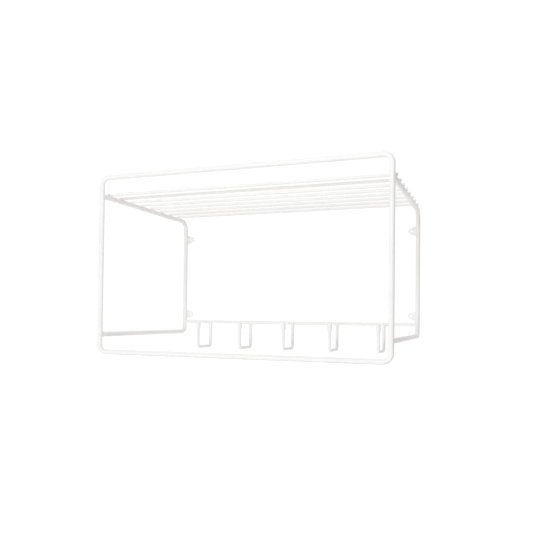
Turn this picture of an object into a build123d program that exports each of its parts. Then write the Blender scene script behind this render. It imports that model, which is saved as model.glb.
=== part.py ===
from build123d import *
import os

# Wall hat rack of welded round steel rod, in millimetres.
# The origin lies on the wall, at the middle of the four screw holes.
# +X points right, +Y into the wall and +Z up.

# Front frame, one closed rounded rectangle
frame_width = 600.0
frame_height = 365.0
rack_depth = 365.0
frame_rod = 10.0
frame_bend = 15.0

# Side brackets, each one bent rod: upper arm, wall post and lower arm
bracket_rod = 10.0
upper_arm_drop = 37.0
lower_arm_rise = 35.5
upper_bend = 23.0
lower_bend = 15.0

# Shelf rods, laid across the upper arms, set down a little by their welds and cut flush with the arms' sides
shelf_rod_count = 8
shelf_rod_diameter = 6.0
shelf_front_setback = 27.5
shelf_back_gap = 17.5
shelf_set_down = 0.7
shelf_end_chamfer = 0.5

# Back rail, between the wall posts
rail_diameter = 7.0
rail_above_bend = 10.5

# Hooks, each one bent wire that hangs under the back rail
hook_count = 5
hook_wire = 7.0
hook_end_margin = 75.0
hook_reach = 68.0
hook_drop = 60.5
hook_tip_drop = 2.0
hook_bend = 8.0

# Plastic caps, pushed on the hooks' free ends
cap_length = 16.0
cap_wall = 1.5
cap_roof = 2.0
cap_taper = 3.5
cap_lip = 0.6
cap_crown = 1.2
cap_clearance = 0.1

# Wall tabs, stamped ears on the inner sides of the wall posts
tab_thickness = 2.0
tab_root_height = 22.0
tab_nose_radius = 7.0
tab_tuck = 2.0
upper_tab_gap = 11.5
lower_tab_gap = 5.0
screw_inset = 15.0
screw_hole = 5.0

# Gap at the root of each weld
weld_gap = 0.1

# Places across the rack and in depth
post_x = (frame_width - frame_rod) / 2
screw_x = post_x - screw_inset
front_y = frame_rod / 2 - rack_depth
wall_post_y = -bracket_rod / 2
hook_front_y = wall_post_y - hook_reach

# Heights over the bottom rail's axis
top_rail_height = frame_height - frame_rod
upper_arm_height = top_rail_height - upper_arm_drop
rail_height = lower_arm_rise + lower_bend + rail_above_bend
upper_screw_height = upper_arm_height - upper_bend - upper_tab_gap - tab_root_height / 2
lower_screw_height = rail_height + rail_diameter / 2 + lower_tab_gap + tab_root_height / 2

# Heights over the origin
bottom_rail_z = -(upper_screw_height + lower_screw_height) / 2
top_rail_z = bottom_rail_z + top_rail_height
upper_arm_z = bottom_rail_z + upper_arm_height
lower_arm_z = bottom_rail_z + lower_arm_rise
rail_z = bottom_rail_z + rail_height
upper_screw_z = bottom_rail_z + upper_screw_height
lower_screw_z = bottom_rail_z + lower_screw_height
shelf_z = upper_arm_z + bracket_rod / 2 - shelf_set_down + shelf_rod_diameter / 2
hook_bottom_z = rail_z - hook_drop
hook_tip_z = rail_z - hook_tip_drop

# Radii that coped ends and saddles are cut to
frame_seat = frame_rod / 2 + weld_gap
bracket_seat = bracket_rod / 2 + weld_gap
rail_seat = rail_diameter / 2 + weld_gap

os.makedirs("parts", exist_ok=True)


def save(piece, name):
    """Label a finished piece and write it to its own file."""
    piece.part.label = name
    export_step(piece.part, f"parts/{name}.step")


def even_places(first, last, count):
    """Places at equal steps from the first to the last."""
    return [first + (last - first) * step / (count - 1) for step in range(count)]


def start_of(path):
    """Plane square to a path at its start."""
    return Plane(origin=path @ 0, z_dir=path % 0)


# Front frame
with BuildPart() as front_frame:
    with BuildLine(Plane.XZ.offset(-front_y)) as frame_path:
        FilletPolyline(
            (-post_x, bottom_rail_z),
            (post_x, bottom_rail_z),
            (post_x, top_rail_z),
            (-post_x, top_rail_z),
            radius=frame_bend,
            close=True,
        )
    with BuildSketch(start_of(frame_path.line)):
        Circle(frame_rod / 2)
    sweep(path=frame_path.line)
save(front_frame, "front_frame")

# Side brackets, their arms coped to the backs of the frame's posts
for side, x in (("left", -post_x), ("right", post_x)):
    with BuildPart() as bracket:
        with BuildLine() as bracket_path:
            FilletPolyline(
                (x, front_y, upper_arm_z),
                (x, wall_post_y, upper_arm_z),
                (x, wall_post_y, lower_arm_z),
                (x, front_y, lower_arm_z),
                radius=(upper_bend, lower_bend),
            )
        with BuildSketch(start_of(bracket_path.line)):
            Circle(bracket_rod / 2)
        sweep(path=bracket_path.line)
        with Locations((x, front_y, 0)):
            Cylinder(frame_seat, 2 * frame_height, mode=Mode.SUBTRACT)
    save(bracket, f"{side}_bracket")

# Shelf rods, with a saddle over each upper arm
shelf_half_length = post_x + bracket_rod / 2
first_shelf_y = front_y + shelf_front_setback
last_shelf_y = wall_post_y - upper_bend - shelf_back_gap
for number, y in enumerate(even_places(first_shelf_y, last_shelf_y, shelf_rod_count), start=1):
    with BuildPart() as shelf_rod:
        with BuildSketch(Plane.YZ):
            with Locations((y, shelf_z)):
                Circle(shelf_rod_diameter / 2)
        extrude(amount=shelf_half_length, both=True)
        chamfer(shelf_rod.edges().filter_by(GeomType.CIRCLE), shelf_end_chamfer)
        with BuildSketch(Plane.XZ.offset(-y)):
            with Locations((-post_x, upper_arm_z), (post_x, upper_arm_z)):
                Circle(bracket_seat)
        extrude(amount=shelf_rod_diameter, both=True, mode=Mode.SUBTRACT)
    save(shelf_rod, f"shelf_rod_{number}")

# Back rail, its ends coped to the wall posts
with BuildPart() as back_rail:
    with BuildSketch(Plane.YZ):
        with Locations((wall_post_y, rail_z)):
            Circle(rail_diameter / 2)
    extrude(amount=post_x, both=True)
    with Locations((-post_x, wall_post_y, rail_z), (post_x, wall_post_y, rail_z)):
        Cylinder(bracket_seat, 2 * rail_diameter, mode=Mode.SUBTRACT)
save(back_rail, "back_rail")

# Hooks and their caps
first_hook_x = hook_end_margin - post_x
bore_radius = hook_wire / 2 + cap_clearance
cap_radius = bore_radius + cap_wall
cap_top = cap_clearance + cap_roof
cap_mouth = cap_top - cap_length
for number, x in enumerate(even_places(first_hook_x, -first_hook_x, hook_count), start=1):
    with BuildPart() as hook:
        with BuildLine() as hook_path:
            FilletPolyline(
                (x, wall_post_y, rail_z),
                (x, wall_post_y, hook_bottom_z),
                (x, hook_front_y, hook_bottom_z),
                (x, hook_front_y, hook_tip_z),
                radius=hook_bend,
            )
        with BuildSketch(start_of(hook_path.line)):
            Circle(hook_wire / 2)
        sweep(path=hook_path.line)
        with BuildSketch(Plane.YZ.offset(x)):
            with Locations((wall_post_y, rail_z)):
                Circle(rail_seat)
        extrude(amount=hook_wire, both=True, mode=Mode.SUBTRACT)
    save(hook, f"hook_{number}")

    # A sleeve closed at its bevelled top, tapered to a thin lip at its mouth
    with BuildPart() as hook_cap:
        with BuildSketch(Plane.XZ.offset(-hook_front_y).shift_origin((x, hook_front_y, hook_tip_z))):
            with BuildLine():
                Polyline(
                    (0, cap_top),
                    (cap_radius - cap_crown, cap_top),
                    (cap_radius, cap_top - cap_crown),
                    (cap_radius, cap_mouth + cap_taper),
                    (bore_radius + cap_lip, cap_mouth),
                    (bore_radius, cap_mouth),
                    (bore_radius, cap_clearance),
                    (0, cap_clearance),
                    close=True,
                )
            make_face()
        revolve(axis=Axis((x, hook_front_y, hook_tip_z), (0, 0, 1)))
    save(hook_cap, f"hook_cap_{number}")

# Wall tabs, flush with the wall, each seated against its post's inner side
for side, direction in (("left", 1), ("right", -1)):
    root_x = -direction * (post_x - bracket_rod / 2 + tab_tuck)
    for level, z in (("upper", upper_screw_z), ("lower", lower_screw_z)):
        with BuildPart() as tab:
            with BuildSketch(Plane.XZ):
                with Locations((-direction * screw_x, z)):
                    Circle(tab_nose_radius)
                with Locations((root_x + direction * tab_tuck / 2, z)):
                    Rectangle(tab_tuck, tab_root_height)
                make_hull()
                with Locations((-direction * screw_x, z)):
                    Circle(screw_hole / 2, mode=Mode.SUBTRACT)
            extrude(amount=tab_thickness)
            with Locations((-direction * post_x, wall_post_y, z)):
                Cylinder(bracket_seat, 2 * tab_root_height, mode=Mode.SUBTRACT)
        save(tab, f"{level}_{side}_tab")
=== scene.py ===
# %% [markdown]
# # A wall hat rack of white steel rod
# The rack is a weldment: thick rod bent into an upright front frame and two side brackets, thinner rod
# laid across the brackets as a hat shelf, and a low back rail that carries wire hooks with plastic caps.
# The rods and ears come as finished solids, so this lesson keeps them and adds what a workshop adds last:
# weld beads, moulded caps, a powder coat, light and a camera. First the solids are loaded, and the box
# around them is read, for placing the lamps, cards and floor.

# %% Load the solids
import math

import bmesh
import bpy
from mathutils import Euler, Matrix, Vector


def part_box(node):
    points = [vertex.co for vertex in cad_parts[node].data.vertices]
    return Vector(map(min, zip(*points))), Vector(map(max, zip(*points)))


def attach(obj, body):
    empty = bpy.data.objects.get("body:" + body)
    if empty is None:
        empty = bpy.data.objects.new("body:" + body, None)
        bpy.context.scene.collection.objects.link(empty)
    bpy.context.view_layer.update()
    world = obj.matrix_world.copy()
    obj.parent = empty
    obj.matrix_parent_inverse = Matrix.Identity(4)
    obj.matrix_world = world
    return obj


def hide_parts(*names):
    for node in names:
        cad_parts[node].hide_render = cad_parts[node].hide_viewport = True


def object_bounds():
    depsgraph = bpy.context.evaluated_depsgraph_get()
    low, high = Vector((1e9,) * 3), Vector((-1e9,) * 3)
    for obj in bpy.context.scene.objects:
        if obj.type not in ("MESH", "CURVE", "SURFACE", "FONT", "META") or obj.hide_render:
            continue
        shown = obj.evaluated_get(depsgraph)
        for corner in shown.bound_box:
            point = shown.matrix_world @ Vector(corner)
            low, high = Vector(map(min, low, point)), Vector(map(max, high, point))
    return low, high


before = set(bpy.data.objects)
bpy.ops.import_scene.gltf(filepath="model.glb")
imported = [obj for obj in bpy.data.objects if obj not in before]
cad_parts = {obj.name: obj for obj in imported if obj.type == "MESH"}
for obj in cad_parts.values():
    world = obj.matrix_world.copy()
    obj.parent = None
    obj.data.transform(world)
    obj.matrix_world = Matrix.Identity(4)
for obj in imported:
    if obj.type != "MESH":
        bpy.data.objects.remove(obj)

solid_low, solid_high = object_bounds()
print("solids:", len(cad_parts), "box:", [round(v, 4) for v in (*solid_low, *solid_high)])

# %% [markdown]
# ## Reading the sizes
# Every bead and cap has to sit on the rods. Their places could be typed in, but a rack of another size
# would then leave them behind, so they are read from the boxes around the solids. A bent rod's box gives
# its thickness in the direction in which it doesn't bend, and its axes lie half a thickness inside.

# %% Rod radii and axes
MM = 0.001


def middle(node):
    """Middle of the box around a solid."""
    low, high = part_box(node)
    return (low + high) / 2


frame_low, frame_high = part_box("front_frame")
bracket_low, bracket_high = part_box("right_bracket")
rail_low, rail_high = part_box("back_rail")
hook_low, hook_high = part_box("hook_1")

frame_radius = (frame_high.y - frame_low.y) / 2
bracket_radius = (bracket_high.x - bracket_low.x) / 2
rail_radius = (rail_high.z - rail_low.z) / 2
hook_radius = (hook_high.x - hook_low.x) / 2

post_x = frame_high.x - frame_radius
front_y = frame_low.y + frame_radius
wall_post_y = bracket_high.y - bracket_radius
upper_arm_z = bracket_high.z - bracket_radius
lower_arm_z = bracket_low.z + bracket_radius
rail_z = middle("back_rail").z

radii = (frame_radius, bracket_radius, rail_radius, hook_radius)
print("radii in mm:", [round(radius / MM, 2) for radius in radii])

# %% [markdown]
# ## The camera
# The rack is seen from the right and from below its middle, nearly level. A constraint could aim the
# camera at a point, but a place and three angles say the same and leave nothing to solve. They were worked
# out from the picture's straight rods and round bends. The lens looks a little below the middle of the
# picture, so the frame is shifted up by that much.

# %% Camera
EYE = Vector((463.1, -1385.3, -103.3)) * MM
TURN = math.radians(20.735)
TILT = math.radians(1.215)
LEAN = math.radians(0.682)
LENS_MM = 40.10
SHIFT_UP = 0.0647

facing = Euler((math.pi / 2 + TILT, 0, TURN)).to_matrix() @ Matrix.Rotation(LEAN, 3, "Z")
bpy.ops.object.camera_add(location=EYE, rotation=facing.to_euler())
camera = bpy.context.active_object
camera.name = "camera"
camera.data.lens = LENS_MM
camera.data.shift_y = SHIFT_UP
bpy.context.scene.camera = camera
print("camera looks along", [round(v, 3) for v in -facing.col[2]])

# %% [markdown]
# ## A shared surface effect
# Powder coat and moulded plastic are both smooth from a step away and faintly uneven close up. Each could
# have noise nodes of its own, but one node group makes that unevenness for both: a broad drift of tone,
# and a fine ripple like orange peel. Noise on Object coordinates needs no picture and no unwrapping, and
# the pattern stays put whichever way the rack is turned.

# %% Node group for uneven surfaces
DRIFT_DETAIL = 2.0
RIPPLE_DETAIL = 1.0


def make_uneven_surface():
    """A node group that puts out a drift and a ripple, each at a scale of its own."""
    group = bpy.data.node_groups.new("uneven_surface", "ShaderNodeTree")
    group.interface.new_socket("Drift Scale", in_out="INPUT", socket_type="NodeSocketFloat")
    group.interface.new_socket("Ripple Scale", in_out="INPUT", socket_type="NodeSocketFloat")
    group.interface.new_socket("Drift", in_out="OUTPUT", socket_type="NodeSocketFloat")
    group.interface.new_socket("Ripple", in_out="OUTPUT", socket_type="NodeSocketFloat")
    inputs = group.nodes.new("NodeGroupInput")
    outputs = group.nodes.new("NodeGroupOutput")
    place = group.nodes.new("ShaderNodeTexCoord")
    for name, detail in (("Drift", DRIFT_DETAIL), ("Ripple", RIPPLE_DETAIL)):
        noise = group.nodes.new("ShaderNodeTexNoise")
        noise.inputs["Detail"].default_value = detail
        group.links.new(place.outputs["Object"], noise.inputs["Vector"])
        group.links.new(inputs.outputs[name + " Scale"], noise.inputs["Scale"])
        group.links.new(noise.outputs["Fac"], outputs.inputs[name])
    return group


uneven_surface = make_uneven_surface()
print("node group with", len(uneven_surface.nodes), "nodes")

# %% [markdown]
# ## Powder coat and cap plastic
# Powder coat is baked on as one thick skin, so it is an even, slightly warm white with a half gloss. It is
# a touch thinner and greyer in places, and its orange peel shows in the highlights. The caps are moulded
# in a slightly cooler white and have a finer, duller grain. Both finishes are one recipe with other
# values, so one function makes them. The peel is far too shallow to change an outline, so a Bump node is
# enough for it.

# %% Finishes
SPECULAR_LEVEL = 0.22
PEEL_STRENGTH = 0.5


def make_finish(name, thin, full, rough, drift_scale, ripple_scale, ripple_depth):
    """A material that drifts between two tones and ripples between two roughnesses."""
    material = bpy.data.materials.new(name)
    material.use_nodes = True
    nodes, links = material.node_tree.nodes, material.node_tree.links
    shader = nodes["Principled BSDF"]
    shader.inputs["Specular IOR Level"].default_value = SPECULAR_LEVEL
    uneven = nodes.new("ShaderNodeGroup")
    uneven.node_tree = uneven_surface
    uneven.inputs["Drift Scale"].default_value = drift_scale
    uneven.inputs["Ripple Scale"].default_value = ripple_scale

    tone = nodes.new("ShaderNodeMix")
    tone.data_type = "RGBA"
    tone.inputs["A"].default_value = (*thin, 1)
    tone.inputs["B"].default_value = (*full, 1)
    links.new(uneven.outputs["Drift"], tone.inputs["Factor"])
    links.new(tone.outputs["Result"], shader.inputs["Base Color"])

    gloss = nodes.new("ShaderNodeMapRange")
    gloss.inputs["To Min"].default_value = rough[0]
    gloss.inputs["To Max"].default_value = rough[1]
    links.new(uneven.outputs["Ripple"], gloss.inputs["Value"])
    links.new(gloss.outputs["Result"], shader.inputs["Roughness"])

    peel = nodes.new("ShaderNodeBump")
    peel.inputs["Strength"].default_value = PEEL_STRENGTH
    peel.inputs["Distance"].default_value = ripple_depth
    links.new(uneven.outputs["Ripple"], peel.inputs["Height"])
    links.new(peel.outputs["Normal"], shader.inputs["Normal"])
    return material


powder_coat = make_finish(
    "powder_coat", thin=(0.845, 0.845, 0.84), full=(0.895, 0.895, 0.89), rough=(0.40, 0.52),
    drift_scale=25, ripple_scale=420, ripple_depth=0.05 * MM,
)
cap_plastic = make_finish(
    "cap_plastic", thin=(0.86, 0.86, 0.867), full=(0.91, 0.91, 0.917), rough=(0.48, 0.58),
    drift_scale=60, ripple_scale=900, ripple_depth=0.02 * MM,
)

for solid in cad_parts.values():
    solid.data.materials.clear()
    solid.data.materials.append(powder_coat)
print("coated", len(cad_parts), "solids")

# %% [markdown]
# ## Tools for small pieces
# Each new piece starts as a primitive and is shaped in edit mode. An operator works on all that is
# selected, so everything is deselected before a primitive is added, and points are then picked by their
# place. By hand that is done with the mouse, and here by a test of each point's coordinates.

# %% Helpers for shaping
SMOOTH_DEGREES = 40


def start_piece(name):
    """Name the primitive that was just added and open it for editing."""
    piece = bpy.context.active_object
    piece.name = name
    bpy.ops.object.mode_set(mode="EDIT")
    return piece


def pick(piece, test):
    """Select the points of the open mesh whose place passes the test."""
    mesh = bmesh.from_edit_mesh(piece.data)
    for point in mesh.verts:
        point.select = test(point.co)
    mesh.select_flush_mode()
    bmesh.update_edit_mesh(piece.data)


def close_piece():
    """Leave edit mode and shade the open piece smooth, apart from its sharp edges."""
    bpy.ops.object.mode_set(mode="OBJECT")
    bpy.ops.object.shade_smooth_by_angle(angle=math.radians(SMOOTH_DEGREES))


print("edges of over", SMOOTH_DEGREES, "degrees stay sharp")

# %% [markdown]
# ## Weld rings
# Where a rod's end meets another rod, the weld runs round it and rises and falls with the other rod's
# curve. A curve with a round bevel could follow that seam, but a torus is already a closed ring of weld
# metal and needs no converting. Each of its cross sections is moved on to the seam and swollen a little
# more or less, which gives the slow ripple of a real bead. The bead is full where the two rods form a deep
# valley and thins out where their sides are flush. The ring's Z points along the rod and its Y along the
# rod that it is welded to.

# %% Weld ring builder
RING_STEPS = 48
BEAD_STEPS = 12
RIPPLES = 9
RIPPLE_SHARE = 0.10


def weld_ring(name, bead_radius, seam):
    """A torus whose sections follow a seam.

    The seam gives a section's distance from the axis, its height and its fullness at an angle.
    """
    start_radius = seam(0)[0]
    section_reach = start_radius * math.pi / RING_STEPS / 2
    bpy.ops.object.select_all(action="DESELECT")
    bpy.ops.mesh.primitive_torus_add(
        major_segments=RING_STEPS,
        minor_segments=BEAD_STEPS,
        major_radius=start_radius,
        minor_radius=bead_radius,
    )
    ring = start_piece(name)
    for step in range(RING_STEPS):
        angle = math.tau * step / RING_STEPS
        out = Vector((math.cos(angle), math.sin(angle), 0))
        across = Vector((-out.y, out.x, 0))
        pick(ring, lambda p: p.dot(out) > 0 and abs(p.dot(across)) < section_reach)
        radius, height, fullness = seam(angle)
        swell = fullness * (1 + RIPPLE_SHARE * math.sin(RIPPLES * angle))
        bpy.ops.transform.resize(value=(swell, swell, swell), center_override=out * start_radius)
        bpy.ops.transform.translate(value=out * (radius - start_radius) + Vector((0, 0, height)))
    close_piece()
    return ring


def end_seam(rod, seat, bead):
    """Seam of a rod that ends on the side of another, drawn in a little where its bead is thin.

    The rod and the seat are given by their radii.
    """
    def seam(angle):
        height = math.sqrt(seat**2 - (rod * math.cos(angle)) ** 2)
        fullness = height / seat
        drawn_in = bead * fullness * (1 - fullness)
        return rod - drawn_in, height, fullness
    return seam


print("a ring has", RING_STEPS * BEAD_STEPS, "points")

# %% Rings for the arms, the rail and the hooks
ARM_BEAD = 1.3 * MM
RAIL_BEAD = 1.0 * MM
HOOK_BEAD = 1.0 * MM
WELD_ROOT = 0.1 * MM

arm_seam = end_seam(bracket_radius, frame_radius + WELD_ROOT, ARM_BEAD)
rail_seam = end_seam(rail_radius, bracket_radius + WELD_ROOT, RAIL_BEAD)
hook_seam = end_seam(hook_radius, rail_radius + WELD_ROOT, HOOK_BEAD)
arm_weld = weld_ring("arm_weld", ARM_BEAD, arm_seam)
rail_weld = weld_ring("rail_weld", RAIL_BEAD, rail_seam)
hook_weld = weld_ring("hook_weld", HOOK_BEAD, hook_seam)
print("least fullness:", [round(seam(0)[2], 2) for seam in (arm_seam, rail_seam, hook_seam)])

# %% [markdown]
# ## Welds under the shelf rods
# The shelf rods were pressed into the arms while the current ran, so each crossing has a small lens-shaped
# seam with a thin flash round it. A boolean of the two rods would draw that seam, but with uneven faces.
# The seam is where the rod's underside and the arm's top are equally high, and halving an interval finds
# that place for each direction, so the ring builder serves here too.

# %% Shelf weld
SHELF_BEAD = 0.7 * MM
EVEN_FULLNESS = 1
HALVINGS = 30
shelf_low, shelf_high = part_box("shelf_rod_1")
shelf_radius = (shelf_high.z - shelf_low.z) / 2
shelf_rise = middle("shelf_rod_1").z - upper_arm_z


def shelf_seam(angle):
    """Seam of a shelf rod that is pressed into the top of an arm."""
    along_rod, along_arm = math.cos(angle), math.sin(angle)
    near, far = 0.0, shelf_radius
    for _ in range(HALVINGS):
        radius = (near + far) / 2
        arm_top = math.sqrt(bracket_radius**2 - (radius * along_rod) ** 2)
        rod_under = shelf_rise - math.sqrt(shelf_radius**2 - (radius * along_arm) ** 2)
        if arm_top > rod_under:
            near = radius
        else:
            far = radius
    return radius, arm_top, EVEN_FULLNESS


shelf_weld = weld_ring("shelf_weld", SHELF_BEAD, shelf_seam)
half_widths = [shelf_seam(angle)[0] for angle in (0, math.pi / 2)]
print("shelf seam, half widths in mm:", [round(width / MM, 2) for width in half_widths])

# %% [markdown]
# ## Welds along the ears
# Each ear's straight edge is welded to its post by one short run. A stretched sphere would be a quick
# bead, but it tapers all the way. A cylinder whose two end rims are bevelled until they are nearly half
# spheres keeps its thickness and still has rounded ends.

# %% Ear weld
EAR_BEAD = 1.1 * MM
EAR_BEAD_SIDES = 16
END_ROUNDING = 0.9 * EAR_BEAD
END_STEPS = 4
tab_low, tab_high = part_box("upper_right_tab")
tab_height = tab_high.z - tab_low.z

bpy.ops.object.select_all(action="DESELECT")
bpy.ops.mesh.primitive_cylinder_add(vertices=EAR_BEAD_SIDES, radius=EAR_BEAD, depth=tab_height)
ear_weld = start_piece("ear_weld")
bpy.ops.mesh.select_all(action="DESELECT")
mesh = bmesh.from_edit_mesh(ear_weld.data)
for edge in mesh.edges:
    first, second = edge.verts
    edge.select = abs(first.co.z - second.co.z) < EAR_BEAD
bmesh.update_edit_mesh(ear_weld.data)
bpy.ops.mesh.bevel(offset=END_ROUNDING, segments=END_STEPS)
close_piece()
print("ear bead", round(tab_height / MM, 1), "mm long")

# %% [markdown]
# ## Setting the welds in place
# Each joint gets a copy of its pattern. Linked copies would share one mesh, but here each has a mesh of its
# own with its place applied to it, so that the noise of the finish differs from weld to weld. Three
# directions say how a copy is turned: where the pattern's own X, Y and Z go. The patterns themselves are
# deleted at the end.

# %% Copying a pattern
RIGHT = Vector((1, 0, 0))
INTO_WALL = Vector((0, 1, 0))
UP = Vector((0, 0, 1))
UPRIGHT = (RIGHT, INTO_WALL, UP)


def copy_to(pattern, name, place, axes, finish):
    """Copy a piece to a place, its own X, Y and Z turned to the given axes."""
    piece = pattern.copy()
    piece.data = pattern.data.copy()
    piece.name = name
    bpy.context.scene.collection.objects.link(piece)
    turn = Matrix(axes).transposed().to_4x4()
    piece.data.transform(Matrix.Translation(place) @ turn)
    piece.data.materials.clear()
    piece.data.materials.append(finish)
    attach(piece, "root")
    return piece


def lay_weld(pattern, name, place, axes):
    """Copy a weld to a joint, in the rods' own finish."""
    return copy_to(pattern, name, Vector(place), axes, powder_coat)


# %% Copies of the welds
SIDES = (("left", -1), ("right", 1))
LEVELS = (("upper", upper_arm_z), ("lower", lower_arm_z))
shelf_nodes = sorted(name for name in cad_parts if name.startswith("shelf_rod_"))
cap_nodes = sorted(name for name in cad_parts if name.startswith("hook_cap_"))
hook_nodes = sorted(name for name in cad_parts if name.startswith("hook_") and name not in cap_nodes)
tab_nodes = sorted(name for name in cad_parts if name.endswith("_tab"))

welds = []
for side, sign in SIDES:
    for level, z in LEVELS:
        place = (sign * post_x, front_y, z)
        welds.append(lay_weld(arm_weld, f"{level}_{side}_arm_weld", place, (RIGHT, -UP, INTO_WALL)))
    place = (sign * post_x, wall_post_y, rail_z)
    axes = (-sign * INTO_WALL, UP, -sign * RIGHT)
    welds.append(lay_weld(rail_weld, f"{side}_rail_weld", place, axes))
    for number, node in enumerate(shelf_nodes, start=1):
        place = (sign * post_x, middle(node).y, upper_arm_z)
        welds.append(lay_weld(shelf_weld, f"{side}_shelf_weld_{number}", place, UPRIGHT))
for number, node in enumerate(hook_nodes, start=1):
    place = (middle(node).x, wall_post_y, rail_z)
    welds.append(lay_weld(hook_weld, f"hook_weld_{number}", place, (INTO_WALL, RIGHT, -UP)))
for node in tab_nodes:
    ear_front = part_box(node)[0].y
    sign = math.copysign(1, middle(node).x)
    seam_x = sign * (post_x - math.sqrt(bracket_radius**2 - (ear_front - wall_post_y) ** 2))
    welds.append(lay_weld(ear_weld, f"{node}_weld", (seam_x, ear_front, middle(node).z), UPRIGHT))
for pattern in (arm_weld, rail_weld, hook_weld, shelf_weld, ear_weld):
    bpy.data.objects.remove(pattern)
print("welds:", len(welds))

# %% [markdown]
# ## Hook caps
# Each hook's free end wears a moulded sleeve: closed and rounded at its top, straight, then drawn in to a
# thin lip where it grips the wire. The solid has that form with plain edges. A drawn profile could be spun
# round, but extruding and insetting a cylinder needs no profile and leaves no seam to merge. One cap is
# modelled, its crown is rounded, and copies stand in for the solids.

# %% One cap
CAP_SIDES = 48
CROWN = 1.5 * MM
CROWN_STEPS = 6
TAPER = 3.5 * MM
ROOF = 2.0 * MM
LIP = 0.6 * MM
WIRE_CLEARANCE = 0.1 * MM
cap_low, cap_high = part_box("hook_cap_1")
cap_radius = (cap_high.x - cap_low.x) / 2
cap_length = cap_high.z - cap_low.z
straight_length = cap_length - TAPER
lip_radius = hook_radius + WIRE_CLEARANCE + LIP

bpy.ops.object.select_all(action="DESELECT")
bpy.ops.mesh.primitive_cylinder_add(
    vertices=CAP_SIDES,
    radius=cap_radius,
    depth=straight_length,
    location=(0, 0, -straight_length / 2),
)
bpy.ops.object.transform_apply(location=True, rotation=False, scale=False)
cap_pattern = start_piece("cap_pattern")
pick(cap_pattern, lambda p: p.z < -straight_length / 2)
bpy.ops.mesh.extrude_region_move(TRANSFORM_OT_translate={"value": (0, 0, -TAPER)})
bpy.ops.transform.resize(value=(lip_radius / cap_radius, lip_radius / cap_radius, 1))
bpy.ops.mesh.inset(thickness=LIP)
bpy.ops.mesh.extrude_region_move(TRANSFORM_OT_translate={"value": (0, 0, cap_length - ROOF)})
pick(cap_pattern, lambda p: p.z > -ROOF / 2)
bpy.ops.mesh.bevel(offset=CROWN, segments=CROWN_STEPS)
close_piece()
print("cap of", len(cap_pattern.data.polygons), "faces")

# %% Caps on all hooks
for node in cap_nodes:
    name = "moulded_" + node.removeprefix("hook_")
    place = Vector((middle(node).x, middle(node).y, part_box(node)[1].z))
    cap = copy_to(cap_pattern, name, place, UPRIGHT, cap_plastic)
    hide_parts(node)
bpy.data.objects.remove(cap_pattern)
print("caps:", len(cap_nodes))

# %% [markdown]
# ## Lamps
# The picture is a bright studio shot. A soft lamp stands in front of the rack and a little above it: the
# top rail's shadow falls on the second shelf rod, which gives the lamp's height. A weaker one lies in
# front near the floor, as a reflector card would, and opens up the undersides. A sun or a point lamp would
# draw hard edges, so both are area lamps. Their light is slightly cool, against the warm room.

# %% Two soft lamps
LAMP_DISTANCE = 2.0
LAMP_SIZE = 0.4
LAMP_COLOR = (0.9, 0.943, 0.996)
rack_middle = (solid_low + solid_high) / 2


def soft_lamp(name, turn, rise, watts):
    """A square area lamp that faces the rack, at angles in degrees from straight in front of it."""
    turn, rise = math.radians(turn), math.radians(rise)
    toward_lamp = Vector((
        math.sin(turn) * math.cos(rise),
        -math.cos(turn) * math.cos(rise),
        math.sin(rise),
    ))
    bpy.ops.object.light_add(type="AREA", location=rack_middle + toward_lamp * LAMP_DISTANCE)
    lamp = bpy.context.active_object
    lamp.name = name
    lamp.rotation_euler = toward_lamp.to_track_quat("Z", "Y").to_euler()
    lamp.data.size = LAMP_SIZE
    lamp.data.energy = watts
    lamp.data.color = LAMP_COLOR
    lamp.visible_camera = False
    print(name, "at", [round(v, 2) for v in lamp.location])


soft_lamp("key_lamp", turn=2, rise=29, watts=10.6)
soft_lamp("fill_lamp", turn=0, rise=-50, watts=7.2)

# %% [markdown]
# ## Grey cards
# White on white needs an edge, so photographers stand grey cards beside the object, just outside the
# picture. A tall one at the rack's right front corner makes the arms behind the post and the ends of the
# shelf rods turn darker toward it, and a narrow strip below the bottom rail draws the rail's lower edge.
# A darker room would grey the whole rack, and a card greys only what faces it. Each card is a thin box
# with rounded edges, and the camera doesn't see it.

# %% Two cards
CARD_THICKNESS = 0.004
CARD_ROUNDING = CARD_THICKNESS / 4
CARD_EDGE_STEPS = 2
CARD_TONE = 0.4
CARD_ROUGHNESS = 0.9
SIDE_GAP = 0.22
SIDE_DEPTH = 0.22
SIDE_SETBACK = SIDE_DEPTH / 6
SIDE_HEIGHT = 0.5
STRIP_GAP = 0.035
STRIP_DEPTH = 0.026
STRIP_LENGTH = 0.62

card_board = bpy.data.materials.new("card_board")
card_board.use_nodes = True
board = card_board.node_tree.nodes["Principled BSDF"]
board.inputs["Base Color"].default_value = (CARD_TONE, CARD_TONE, CARD_TONE, 1)
board.inputs["Roughness"].default_value = CARD_ROUGHNESS


def grey_card(name, place, size):
    """A thin box with rounded edges that shades the rack and stays out of the picture."""
    bpy.ops.object.select_all(action="DESELECT")
    bpy.ops.mesh.primitive_cube_add(size=1, location=place)
    card = start_piece(name)
    bpy.ops.transform.resize(value=size)
    bpy.ops.mesh.bevel(offset=CARD_ROUNDING, segments=CARD_EDGE_STEPS)
    close_piece()
    card.data.materials.append(card_board)
    card.visible_camera = False
    print(name, "at", [round(v, 3) for v in place])


side_place = Vector((solid_high.x + SIDE_GAP, front_y + SIDE_SETBACK, 0))
strip_place = Vector((0, front_y, solid_low.z - STRIP_GAP))
grey_card("side_card", side_place, (CARD_THICKNESS, SIDE_DEPTH, SIDE_HEIGHT))
grey_card("strip_card", strip_place, (STRIP_LENGTH, STRIP_DEPTH, CARD_THICKNESS))

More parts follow.
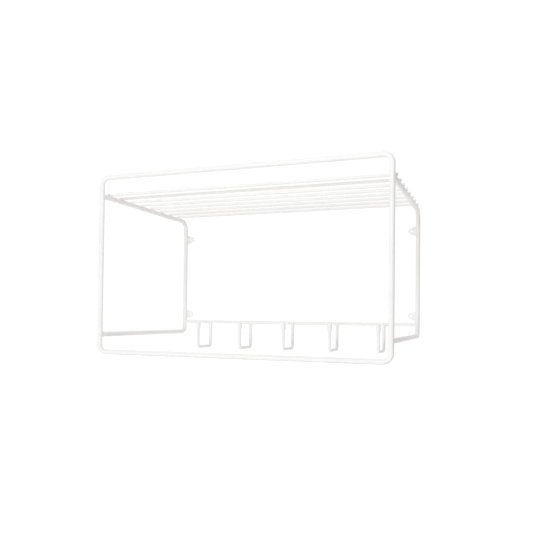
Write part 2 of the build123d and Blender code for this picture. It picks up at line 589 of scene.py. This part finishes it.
# %% [markdown]
# ## The room
# A white room gives most of the light. It is a little brighter on the left, overhead and toward the wall,
# so the rods' right-hand sides fall off. A picture of a studio could light the rack too, but the dot
# product of a ray's direction with one vector is all the slope that it needs. What the camera sees,
# directly or in a reflection, is plain white, a touch over full so that denoising leaves no grey specks
# in it.

# %% World
ROOM_LEVEL = 0.76
ROOM_SLOPE = (-0.08, 0.09, 0.12)
ROOM_COLOR = (1.0, 0.973, 0.951)
WHITE_LEVEL = 1.03
SEEING_RAYS = ("Is Camera Ray", "Is Glossy Ray", "Is Transmission Ray")


def any_of(nodes, links, names):
    """A value of 1 for a ray of any of the named kinds."""
    path = nodes.new("ShaderNodeLightPath")
    total = path.outputs[names[0]]
    for name in names[1:]:
        larger = nodes.new("ShaderNodeMath")
        larger.operation = "MAXIMUM"
        links.new(total, larger.inputs[0])
        links.new(path.outputs[name], larger.inputs[1])
        total = larger.outputs["Value"]
    return total


world = bpy.data.worlds.new("white_room")
bpy.context.scene.world = world
world.use_nodes = True
nodes, links = world.node_tree.nodes, world.node_tree.links
slope = nodes.new("ShaderNodeVectorMath")
slope.operation = "DOT_PRODUCT"
slope.inputs[1].default_value = ROOM_SLOPE
links.new(nodes.new("ShaderNodeTexCoord").outputs["Generated"], slope.inputs[0])
level = nodes.new("ShaderNodeMath")
level.inputs[1].default_value = ROOM_LEVEL
links.new(slope.outputs["Value"], level.inputs[0])
room = nodes["Background"]
room.inputs["Color"].default_value = (*ROOM_COLOR, 1)
links.new(level.outputs["Value"], room.inputs["Strength"])
white = nodes.new("ShaderNodeBackground")
white.inputs["Color"].default_value = (1, 1, 1, 1)
white.inputs["Strength"].default_value = WHITE_LEVEL
seen = nodes.new("ShaderNodeMixShader")
links.new(any_of(nodes, links, SEEING_RAYS), seen.inputs["Fac"])
links.new(room.outputs["Background"], seen.inputs[1])
links.new(white.outputs["Background"], seen.inputs[2])
links.new(seen.outputs["Shader"], nodes["World Output"].inputs["Surface"])
print("room of", len(nodes), "nodes")

# %% [markdown]
# ## Floor
# The rack hangs at head height, so the floor lies far below it and its soft shadow falls outside the
# picture. The floor is pale and matt. It could be lit until it is white, but that light would reach the
# rack too. So where the camera sees it, a part of its white is its own, and it runs into the white room
# without an edge and still takes the rack's shadow.

# %% Floor
FLOOR_DROP = 1.5
FLOOR_SIZE = 40
FLOOR_PAINT = (0.9, 0.9, 0.9)
FLOOR_GLOW = 0.5
bpy.ops.object.select_all(action="DESELECT")
bpy.ops.mesh.primitive_plane_add(size=FLOOR_SIZE, location=(0, 0, solid_low.z - FLOOR_DROP))
floor = bpy.context.active_object
floor.name = "floor"
paint = bpy.data.materials.new("pale_floor")
paint.use_nodes = True
nodes, links = paint.node_tree.nodes, paint.node_tree.links
nodes.remove(nodes["Principled BSDF"])
matt = nodes.new("ShaderNodeBsdfDiffuse")
matt.inputs["Color"].default_value = (*FLOOR_PAINT, 1)
glow = nodes.new("ShaderNodeEmission")
both = nodes.new("ShaderNodeAddShader")
scaled = nodes.new("ShaderNodeMath")
scaled.operation = "MULTIPLY"
scaled.inputs[1].default_value = FLOOR_GLOW
links.new(any_of(nodes, links, SEEING_RAYS), scaled.inputs[0])
links.new(scaled.outputs["Value"], glow.inputs["Strength"])
links.new(matt.outputs["BSDF"], both.inputs[0])
links.new(glow.outputs["Emission"], both.inputs[1])
links.new(both.outputs["Shader"], nodes["Material Output"].inputs["Surface"])
floor.data.materials.append(paint)
print("floor at", round(floor.location.z, 3))

# %% [markdown]
# ## Finish
# The picture's tones are kept as they are rendered, with the plain Standard view.

# %% View
bpy.context.scene.view_settings.view_transform = "Standard"
